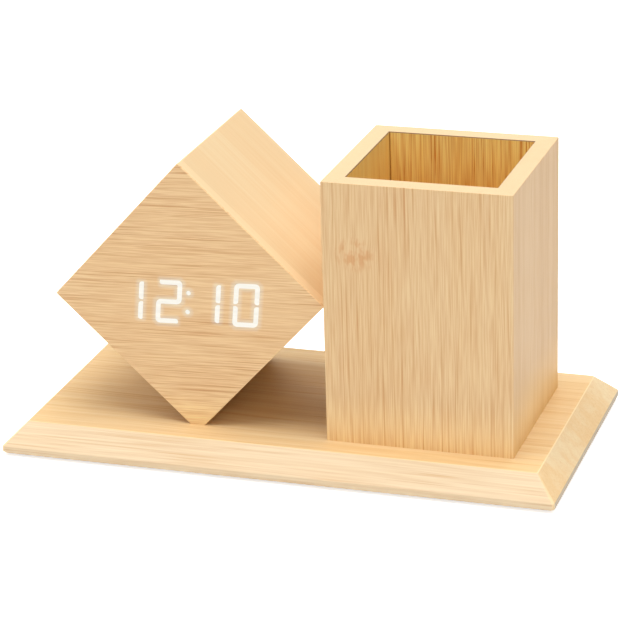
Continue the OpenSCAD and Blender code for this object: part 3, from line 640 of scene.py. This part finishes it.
def arc(centre, radius, start, end):
    """Points of an arc without its two ends, given in degrees."""
    angles = [radians(start + (end - start)*i/ARC_STEPS) for i in range(1, ARC_STEPS)]
    return [(centre[0] + radius*cos(a), centre[1] + radius*sin(a)) for a in angles]


def rounded(corners):
    """Rounds a line or loop of (x, y, radius) corners, and gives (x, y, mark) points, whose mark is 1 on the
    arcs, where edges are lightened as worn and as a painted highlight.
    """
    points = []
    for i, (x, y, radius) in enumerate(corners):
        if not radius:
            points.append((x, y, 0.0))
            continue
        corner = Vector((x, y))
        before = (Vector(corners[i - 1][:2]) - corner).normalized()
        after = (Vector(corners[(i + 1) % len(corners)][:2]) - corner).normalized()
        half_angle = before.angle(after)/2
        centre = corner + (before + after).normalized()*radius/sin(half_angle)
        start = (corner + before*radius/tan(half_angle) - centre).normalized()
        end = (corner + after*radius/tan(half_angle) - centre).normalized()
        for step in range(ARC_STEPS + 1):
            spoke = radius*start.slerp(end, step/ARC_STEPS)
            points.append((centre.x + spoke.x, centre.y + spoke.y, float(0 < step < ARC_STEPS)))
    return points


def in_case(p, q, y):
    """A point of the case, given along its upper right and upper left directions."""
    x, z = turned(p, q, CASE_TURN)
    return CASE_CENTRE[0] + x, y, CASE_CENTRE[1] + z


def on_face(u, v, y):
    """A point of the display, given to the right and up along the leaning face."""
    x, z = turned(u, v - DIGIT_DROP, CASE_LEAN)
    return CASE_CENTRE[0] + x, y, CASE_CENTRE[1] + z


def holder_place(turn):
    """Where a point along a wall of the holder, out from its middle and up, lies in the part."""
    def place(along, out, up):
        x, y = turned(along, -out, 90*turn)
        return HOLDER_CENTRE[0] + x, HOLDER_CENTRE[1] + y, up
    return place


def case_place(turn):
    """Where a point along a side of the case, out from its middle and back, lies in the part."""
    def place(along, out, back):
        return in_case(*turned(out, along, 90*turn), back)
    return place


def rim_profile(thickness, low, high, shaded_inner_edge=False):
    """From the outer face over a rounded rim to the inner face. A shaded inner edge is marked below 0, for
    painted shade.
    """
    inner_r = INNER_RIM_R if shaded_inner_edge else RIM_R
    points = rounded([(0, low, 0), (0, high, RIM_R), (thickness, high, inner_r), (thickness, low, 0)])
    if not shaded_inner_edge:
        return points
    return [(x, y, -worn_sheen_and_shade if x > thickness/2 else worn_sheen_and_shade) for x, y, worn_sheen_and_shade in points]


def wall_end(half, inset, joint):
    """A wall's end at one inset: (along, out, mark) points up to its mitre, or round an open joint. The mark
    is 1 on the rounded corner, which is lightened as worn and as a painted highlight.
    """
    radius = max(CORNER_R - inset, 0)
    centre = half - inset - radius
    if joint:
        deep = centre + JOINT_DEPTH
        notch = [(deep - joint, deep, 0.0)]*(ARC_STEPS - 1)
        return [(centre - joint, centre, 0.0)] + notch + [(deep, deep, 0.0)]
    tip = centre + radius*sqrt(0.5)
    curve = [(x, y, 1.0) for x, y in arc((centre, centre), radius, 90, 45)]
    return [(centre, half - inset, 0.0)] + curve + [(tip, tip, 0.0)]


def mitred_wall(name, half, profile, place, joint=0.0, floor=None):
    """One of four walls around a square, mitred, with its outer corners rounded."""
    bm = bmesh.new()
    layer = bm.verts.layers.float.new("worn_sheen_and_shade")
    thickness = max(inset for inset, height, worn_sheen_and_shade in profile)
    rows = []
    for inset, height, worn_sheen_and_shade in profile:
        is_inner = inset > thickness - MERGE_DISTANCE
        end = wall_end(half, inset, joint if is_inner else 0.0)
        other_end = [(-x, y, corner_worn_sheen) for x, y, corner_worn_sheen in reversed(end)]
        row = []
        for x, y, corner_worn_sheen in other_end + end:
            vert = bm.verts.new(place(x, y, height))
            vert[layer] = worn_sheen_and_shade or (corner_worn_sheen if inset < CORNER_R else 0.0)
            row.append(vert)
        rows.append(row)
    inner_level = len(rows) - 2
    for level, (lower, upper) in enumerate(zip(rows, rows[1:] + rows[:1])):
        for i in range(len(lower) - 1):
            face = bm.faces.new((lower[i], lower[i + 1], upper[i + 1], upper[i]))
            face.material_index = int(level == inner_level)
    for end in (0, -1):
        bm.faces.new([row[end] for row in rows])
    if floor is not None:
        cut_below(bm, floor)
    return new_piece(name, bm)


def make_holder():
    """The pen holder's four mitred walls, each with its film outside and inside."""
    # The rim's inner edge is marked for a dark line of painted shade.
    profile = rim_profile(HOLDER_WALL, BOARD_TOP, HOLDER_TOP, shaded_inner_edge=True)
    for turn, side in enumerate(HOLDER_SIDES):
        wall = mitred_wall(f"pen_holder_{side}", HOLDER_W/2, profile, holder_place(turn), JOINT_GAP)
        settle(wall, (holder_woods[turn], inside_woods[turn]), "holder_film", f"holder_{side}_wall")


def make_case():
    """The four mitred sides of the clock, cut where they stand on the board."""
    profile = rim_profile(CASE_WALL, FRONT_BACK_Y, CASE_BACK_Y)
    for turn, side in enumerate(CASE_SIDES):
        wall = mitred_wall(f"case_{side}", CASE_SIDE/2, profile, case_place(turn), floor=BOARD_TOP)
        settle(wall, (case_woods[turn], raw_wood), "case_film", f"clock_{side}_side")


def rounded_square(bm, inset, y, worn_sheen_and_shade=0.0):
    """A loop of points round the case at one depth."""
    layer = bm.verts.layers.float["worn_sheen_and_shade"]
    radius = max(CORNER_R - inset, LEAST_CORNER_R)
    centre = CASE_SIDE/2 - inset - radius
    loop = []
    for turn in range(4):
        for step in range(CORNER_STEPS + 1):
            angle = radians(90*step/CORNER_STEPS)
            corner = turned(centre + radius*cos(angle), centre + radius*sin(angle), 90*turn)
            vert = bm.verts.new(in_case(*corner, y))
            vert[layer] = max(worn_sheen_and_shade, float(0 < step < CORNER_STEPS))
            loop.append(vert)
    return loop


def make_front_panel():
    """The front board with the display's opening."""
    bm = bmesh.new()
    bm.verts.layers.float.new("worn_sheen_and_shade")
    depths = (SKIN_BACK_Y, FRONT_BACK_Y)
    outer = [rounded_square(bm, 0, y) for y in depths]
    bridge(bm, *outer)
    opening = [(x*DISPLAY_W/2, z*DISPLAY_H/2) for x, z in ((-1, -1), (1, -1), (1, 1), (-1, 1))]
    inner = [[bm.verts.new(on_face(x, z, y)) for x, z in opening] for y in depths]
    bridge(bm, *inner)
    for loops in zip(outer, inner):
        fill(bm, loops)
    cut_below(bm, BOARD_TOP)
    settle(new_piece("front_panel", bm), (front_wood,), "case_film", "front_board")


def make_skin():
    """The thin wood skin over the front, with a rounded rim and a fine grid where the digits glow."""
    bm = bmesh.new()
    for layer in ("worn_sheen_and_shade", "glow"):
        bm.verts.layers.float.new(layer)
    rows = [rounded_square(bm, 0, SKIN_BACK_Y), rounded_square(bm, 0, FACE_Y + SKIN_R)]
    # The skin's rounded rim is marked to be lightened, where worn and as a painted highlight.
    for inset, y in arc((SKIN_R, FACE_Y + SKIN_R), SKIN_R, 180, 270):
        rows.append(rounded_square(bm, inset, y, 1.0))
    rows.append(rounded_square(bm, SKIN_R, FACE_Y))
    for one, other in zip(rows, rows[1:]):
        bridge(bm, one, other)
    for end in (0, -1):
        bm.faces.new(rows[end])
    cut_below(bm, BOARD_TOP)
    front = min(bm.faces, key=lambda face: face.calc_center_median().y)
    border = front.verts[:]
    bm.faces.remove(front)
    fill_round(bm, border, glow_window(bm))
    settle(new_piece("wood_skin", bm), (face_wood,), "face_veneer", "front_veneer")


def glow_window(bm):
    """A fine grid round the digits that holds how near their light is. Gives back its border."""
    layer = bm.verts.layers.float["glow"]
    paths = digit_paths(TIP_INSET + INNER_TIP_R/2)
    lines = [[Vector(slanted(*point)) for point in path] for path, middle in paths]
    strokes = [stroke for line in lines for stroke in zip(line, line[1:])]
    dots = [Vector(slanted(*dot)) for dot in COLON_DOTS]
    across, up = round(GLOW_W/GLOW_STEP), round(GLOW_H/GLOW_STEP)
    grid = []
    for j in range(up + 1):
        grid.append([])
        for i in range(across + 1):
            point = Vector(((i/across - 0.5)*GLOW_W, (j/up - 0.5)*GLOW_H))
            away = [from_stroke(point, start, end) for start, end in strokes]
            away += [(point - dot).length - SHOWN_DOT_D/2 for dot in dots]
            vert = bm.verts.new(on_face(point.x, point.y, FACE_Y))
            vert[layer] = min(max(1 - min(away)/GLOW_REACH, 0.0), 1.0)
            grid[-1].append(vert)
    for low, high in zip(grid, grid[1:]):
        for i in range(across):
            bm.faces.new((low[i], low[i + 1], high[i + 1], high[i]))
    left, right = [row[0] for row in grid], [row[-1] for row in grid]
    return grid[0][:-1] + right[:-1] + grid[-1][:0:-1] + left[:0:-1]


def from_stroke(point, start, end):
    """How far a point is from a straight stroke with flat ends."""
    off = point - (start + end)/2
    way = (end - start).normalized()
    beyond = max(abs(off.dot(way)) - (end - start).length/2, 0.0)
    beside = max(abs(off.cross(way)) - SHOWN_STROKE/2, 0.0)
    return hypot(beyond, beside)


def board_loop(bm, inset, z, worn_sheen_and_shade):
    """A loop of points round the board at one height, with rounded corners."""
    layer = bm.verts.layers.float["worn_sheen_and_shade"]
    half_l, half_w = (size/2 - inset - BOARD_CORNER_R for size in (BOARD_L, BOARD_W))
    loop = []
    for turn, (x, y) in enumerate(((1, 1), (-1, 1), (-1, -1), (1, -1))):
        for step in range(CORNER_STEPS + 1):
            angle = radians(90*turn + 90*step/CORNER_STEPS)
            along = x*half_l + BOARD_CORNER_R*cos(angle)
            across = y*half_w + BOARD_CORNER_R*sin(angle)
            vert = bm.verts.new((along, across, z))
            vert[layer] = max(worn_sheen_and_shade, float(0 < step < CORNER_STEPS and inset < WORN_SHEEN_CORNER_INSET))
            loop.append(vert)
    return loop


def screw_hole(bm, place):
    """Loops of a sunk screw hole, from the board's underside to its top."""
    head_top = BOARD_LOW + SCREW_SINK
    levels = [(SCREW_HEAD_R, BOARD_LOW), (SCREW_HEAD_R, head_top),
              (SCREW_SHAFT_R, head_top + SCREW_HEAD_H), (SCREW_SHAFT_R, BOARD_TOP)]
    return [[bm.verts.new((x, y, z)) for x, y in circle(place, radius, HOLE_STEPS)] for radius, z in levels]


def make_board():
    """The bevelled board with the sunk holes of its four screws. Its upper edges are marked to be lightened,
    where worn and as a painted highlight.
    """
    bm = bmesh.new()
    bm.verts.layers.float.new("worn_sheen_and_shade")
    corners = [
        (BOARD_EDGE_R, BOARD_LOW, 0),
        (0, BOARD_LOW + BOARD_EDGE_R, 0),
        (0, BOARD_EDGE_TOP, BOARD_EDGE_R),
        (BEVEL_W, BOARD_TOP, BOARD_EDGE_R),
        (2*BEVEL_W, BOARD_TOP, 0),
    ]
    # Edges above the board's upright edge are lightened, where worn and as a painted highlight.
    worn_sheen_from = BOARD_EDGE_TOP + BOARD_EDGE_R
    rows = [board_loop(bm, inset, z, worn_sheen_and_shade*(z > worn_sheen_from)) for inset, z, worn_sheen_and_shade in rounded(corners)]
    holes = [screw_hole(bm, place) for place in SCREW_PLACES]
    for loops in [rows] + holes:
        for one, other in zip(loops, loops[1:]):
            bridge(bm, one, other)
    for end in (0, -1):
        fill(bm, [rows[end]] + [hole[end] for hole in holes])
    for face in bm.faces:
        face.normal_update()
        face.material_index = int(abs(face.normal.x) > max(abs(face.normal.y), END_SLOPE))
    settle(new_piece("bevelled_board", bm), (board_wood, board_end_wood), "board_film", "base_board")


def digit_paths(tip_inset):
    """Middle lines of the lit strokes as upright figures, each with the middle of its digit."""
    half = STROKE/2
    w, h = DIGIT_W/2 - half, DIGIT_H/2 - half
    tip_x, tip_z, gap = DIGIT_W/2 - tip_inset, DIGIT_H/2 - tip_inset, STROKE_GAP
    shapes = {
        "0": [[(-w, side*gap), (-w, side*h), (w, side*h), (w, side*gap)] for side in (1, -1)],
        "1": [[(w, side*gap), (w, side*tip_z)] for side in (1, -1)],
        "2": [[(-tip_x, h), (w, h), (w, 0), (-w, 0), (-w, -h), (tip_x, -h)]],
    }
    paths = []
    for place, digit in enumerate(SHOWN_DIGITS):
        centre = (place - LAST_DIGIT/2)*DIGIT_PITCH
        for path in shapes[digit]:
            paths.append(([(x + centre, z) for x, z in path], Vector((centre, 0))))
    return paths


def slanted(x, z):
    """Where a point of an upright figure lies on the face, where all figures lean."""
    return x + SLANT*z, z


def stroke_outline(path, middle):
    """A stroke of even width along a bent line, rounded at its bends and slanted at its tips."""
    points = [Vector(p) for p in path]
    ways = [(end - start).normalized() for start, end in zip(points, points[1:])]
    sides = ([], [])
    for i, point in enumerate(points):
        before, after = ways[max(i - 1, 0)], ways[min(i, len(ways) - 1)]
        out = SHOWN_STROKE/2*(before.orthogonal() + after.orthogonal())/(1 + before.dot(after))
        inner_r, outer_r = INNER_BEND_R, OUTER_BEND_R
        if i in (0, len(points) - 1):
            is_tip = abs(point.y) > STROKE_GAP
            inner_r, outer_r = (INNER_TIP_R, OUTER_TIP_R) if is_tip else (GAP_R, GAP_R)
        corners = (point + out, point - out)
        nearest = min((corner - middle).length for corner in corners)
        for side, corner in zip(sides, corners):
            is_inner = (corner - middle).length == nearest
            side.append((*corner, inner_r if is_inner else outer_r))
    return [slanted(x, z) for x, z, worn_sheen_and_shade in rounded(sides[0] + sides[1][::-1])]


def make_digits():
    """The lit figures as they show on the skin: each stroke is a thin plate just proud of the wood."""
    outlines = [stroke_outline(path, middle) for path, middle in digit_paths(TIP_INSET)]
    outlines += [circle(slanted(*dot), SHOWN_DOT_D/2, DOT_STEPS) for dot in COLON_DOTS]
    bm = bmesh.new()
    for outline in outlines:
        front = [bm.verts.new(on_face(x, z, FACE_Y - PLATE_PROUD)) for x, z in outline]
        back = [bm.verts.new(on_face(x, z, FACE_Y + PLATE_DEPTH)) for x, z in outline]
        bridge(bm, front, back)
        fill(bm, [front])
        fill(bm, [back])
    settle(new_piece("lit_figures", bm), (lit_digit,), "lit_lens")


# Solids that show as they are: their material, and how wide their edges are rounded
NODE_LOOKS = (
    (rubber, 0.25, ("rubber_feet",)),
    (floor_wood, 0.0, ("holder_floor",)),
    (raw_wood, 0.0, ("corner_blocks", "foot_block")),
    (black_plastic, 0.2, ("rear_cover", "battery_door")),
    (black_plastic, 0.0, ("controller_chip", "buzzer", "tact_switches", "socket_tongue")),
    (button_plastic, 0.35, ("set_button", "up_button", "down_button")),
    (white_plastic, 0.0, ("set_plunger", "up_plunger", "down_plunger")),
    (white_plastic, 0.0, ("display_housing", "display_leds", "ribbon_cable", "ribbon_plugs")),
    (steel, 0.08, ("holder_screws", "clock_screws", "cover_screws")),
    (steel, 0.0, ("display_screws", "board_screws", "battery_contacts", "power_socket")),
    (circuit, 0.0, ("display_board", "control_board")),
    (lit_digit, 0.0, ("lit_segments",)),
    (lens_plastic, 0.0, ("unlit_segments",)),
    (cell_wrap, 0.0, ("battery_cells",)),
    (wire_plastic, 0.0, ("battery_leads",)),
)

# What is welded, counted as flat and rounded before a solid is shown
WELD_DISTANCE = 0.001
FLAT_ANGLE = radians(0.5)
EDGE_ANGLE = radians(28)
EDGE_SEGMENTS = 2


def round_edges(node, width):
    """Rounds a solid's edges by modifiers, and leaves its mesh as it is."""
    weld = node.modifiers.new("weld", "WELD")
    weld.merge_threshold = WELD_DISTANCE*MM
    flat = node.modifiers.new("flat_faces", "DECIMATE")
    flat.decimate_type = "DISSOLVE"
    flat.angle_limit = FLAT_ANGLE
    edge = node.modifiers.new("edges", "BEVEL")
    edge.width = width*MM
    edge.segments = EDGE_SEGMENTS
    edge.limit_method = "ANGLE"
    edge.angle_limit = EDGE_ANGLE
    edge.use_clamp_overlap = False
    node.modifiers.new("even_shading", "WEIGHTED_NORMAL")


def dress_nodes():
    """Gives every solid that shows as it is its material and rounded edges."""
    for material, width, names in NODE_LOOKS:
        for name in names:
            for slot in NODES[name].material_slots:
                slot.material = material
            if width:
                round_edges(NODES[name], width)


# The photograph's camera, found from the corners of the board, the holder and the clock
CAMERA_AZIMUTH = radians(18.319)
CAMERA_ELEVATION = radians(20.743)
CAMERA_ROLL = radians(-1.687)
CAMERA_TARGET = Vector((-0.848, 0, 44.839))
CAMERA_DISTANCE = 994.29
CAMERA_CLIP = 50.0
FOCUS_PX = 2803.05
FRAME_PX = 620
SENSOR_W = 36.0


def make_camera():
    """Puts the camera where the photograph was taken."""
    flat = cos(CAMERA_ELEVATION)
    back = Vector((sin(CAMERA_AZIMUTH)*flat, -cos(CAMERA_AZIMUTH)*flat, sin(CAMERA_ELEVATION)))
    right = (-back).cross(Vector(UP)).normalized()
    up = right.cross(-back)
    rolled_right = cos(CAMERA_ROLL)*right + sin(CAMERA_ROLL)*up
    rolled_up = cos(CAMERA_ROLL)*up - sin(CAMERA_ROLL)*right
    data = bpy.data.cameras.new("camera")
    data.sensor_fit = "HORIZONTAL"
    data.sensor_width = SENSOR_W
    data.lens = FOCUS_PX*SENSOR_W/FRAME_PX
    data.clip_start = CAMERA_CLIP*MM
    camera = bpy.data.objects.new("camera", data)
    matrix = Matrix((rolled_right, rolled_up, back)).transposed().to_4x4()
    matrix.translation = (CAMERA_TARGET + CAMERA_DISTANCE*back)*MM
    camera.matrix_world = matrix
    SCENE.collection.objects.link(camera)
    SCENE.camera = camera


# The white floor and the studio's soft round lamps: place, diameter, and power in watts
WHITE = (1.0, 1.0, 1.0, 1.0)
FLOOR_HALF = 4000.0
FLOOR_SHADES = ((0.86, 0.86, 0.86, 1.0), (0.88, 0.88, 0.88, 1.0))
FLOOR_SCALE = (40, 40, 40)
FLOOR_GLOW = 0.65
AMBIENT = 0.25
LAMP_TARGET = Vector((0, 0, 50))
LAMPS = {
    "overhead": (Vector((0, -100, 1400)), 1200, 14.5),
    "right": (Vector((700, -200, 1200)), 800, 2.8),
    "left": (Vector((-700, -300, 1200)), 800, 3.8),
    "front": (Vector((200, -1400, 500)), 800, 3.2),
    "rear": (Vector((100, 900, 1100)), 800, 5.0),
}


def make_floor():
    """A plain floor that is white to the camera and keeps the part's shadow."""
    bm = bmesh.new()
    bmesh.ops.create_grid(bm, x_segments=1, y_segments=1, size=FLOOR_HALF)
    floor = new_piece("floor", bm)
    s = Shader(bpy.data.materials.new("floor_white"))
    speck = s.noise(s.coordinate("Object"), FLOOR_SCALE)
    matt = s.node("BsdfDiffuse", {"Color": s.mix(speck, *FLOOR_SHADES)})
    glow = s.math("MULTIPLY", s.direct_rays(), FLOOR_GLOW)
    white = s.node("Emission", {"Color": WHITE, "Strength": glow})
    both = s.node("AddShader", {0: matt.outputs["BSDF"], 1: white.outputs["Emission"]})
    floor.data.materials.append(s.finish(both.outputs["Shader"]))


def make_world():
    """A world that is white to the camera and lights the part only a little."""
    s = Shader(bpy.data.worlds.new("studio"))
    strength = s.node("MapRange", {"Value": s.direct_rays(), "To Min": AMBIENT, "To Max": 1.0})
    light = s.node("Background", {"Color": WHITE, "Strength": strength.outputs["Result"]})
    SCENE.world = s.finish(light.outputs["Background"], "OutputWorld")


def make_lamps():
    """Hangs the studio's lamps, which all point at the part."""
    for name, (place, diameter, power) in LAMPS.items():
        data = bpy.data.lights.new(name, "AREA")
        data.shape = "DISK"
        data.size = diameter*MM
        data.energy = power
        lamp = bpy.data.objects.new(name, data)
        lamp.location = place*MM
        lamp.rotation_euler = (LAMP_TARGET - place).to_track_quat("-Z", "Y").to_euler()
        SCENE.collection.objects.link(lamp)


SCENE.view_settings.view_transform = "Standard"
make_camera()
make_floor()
make_world()
make_lamps()
dress_nodes()
make_board()
make_holder()
make_case()
make_front_panel()
make_skin()
make_digits()
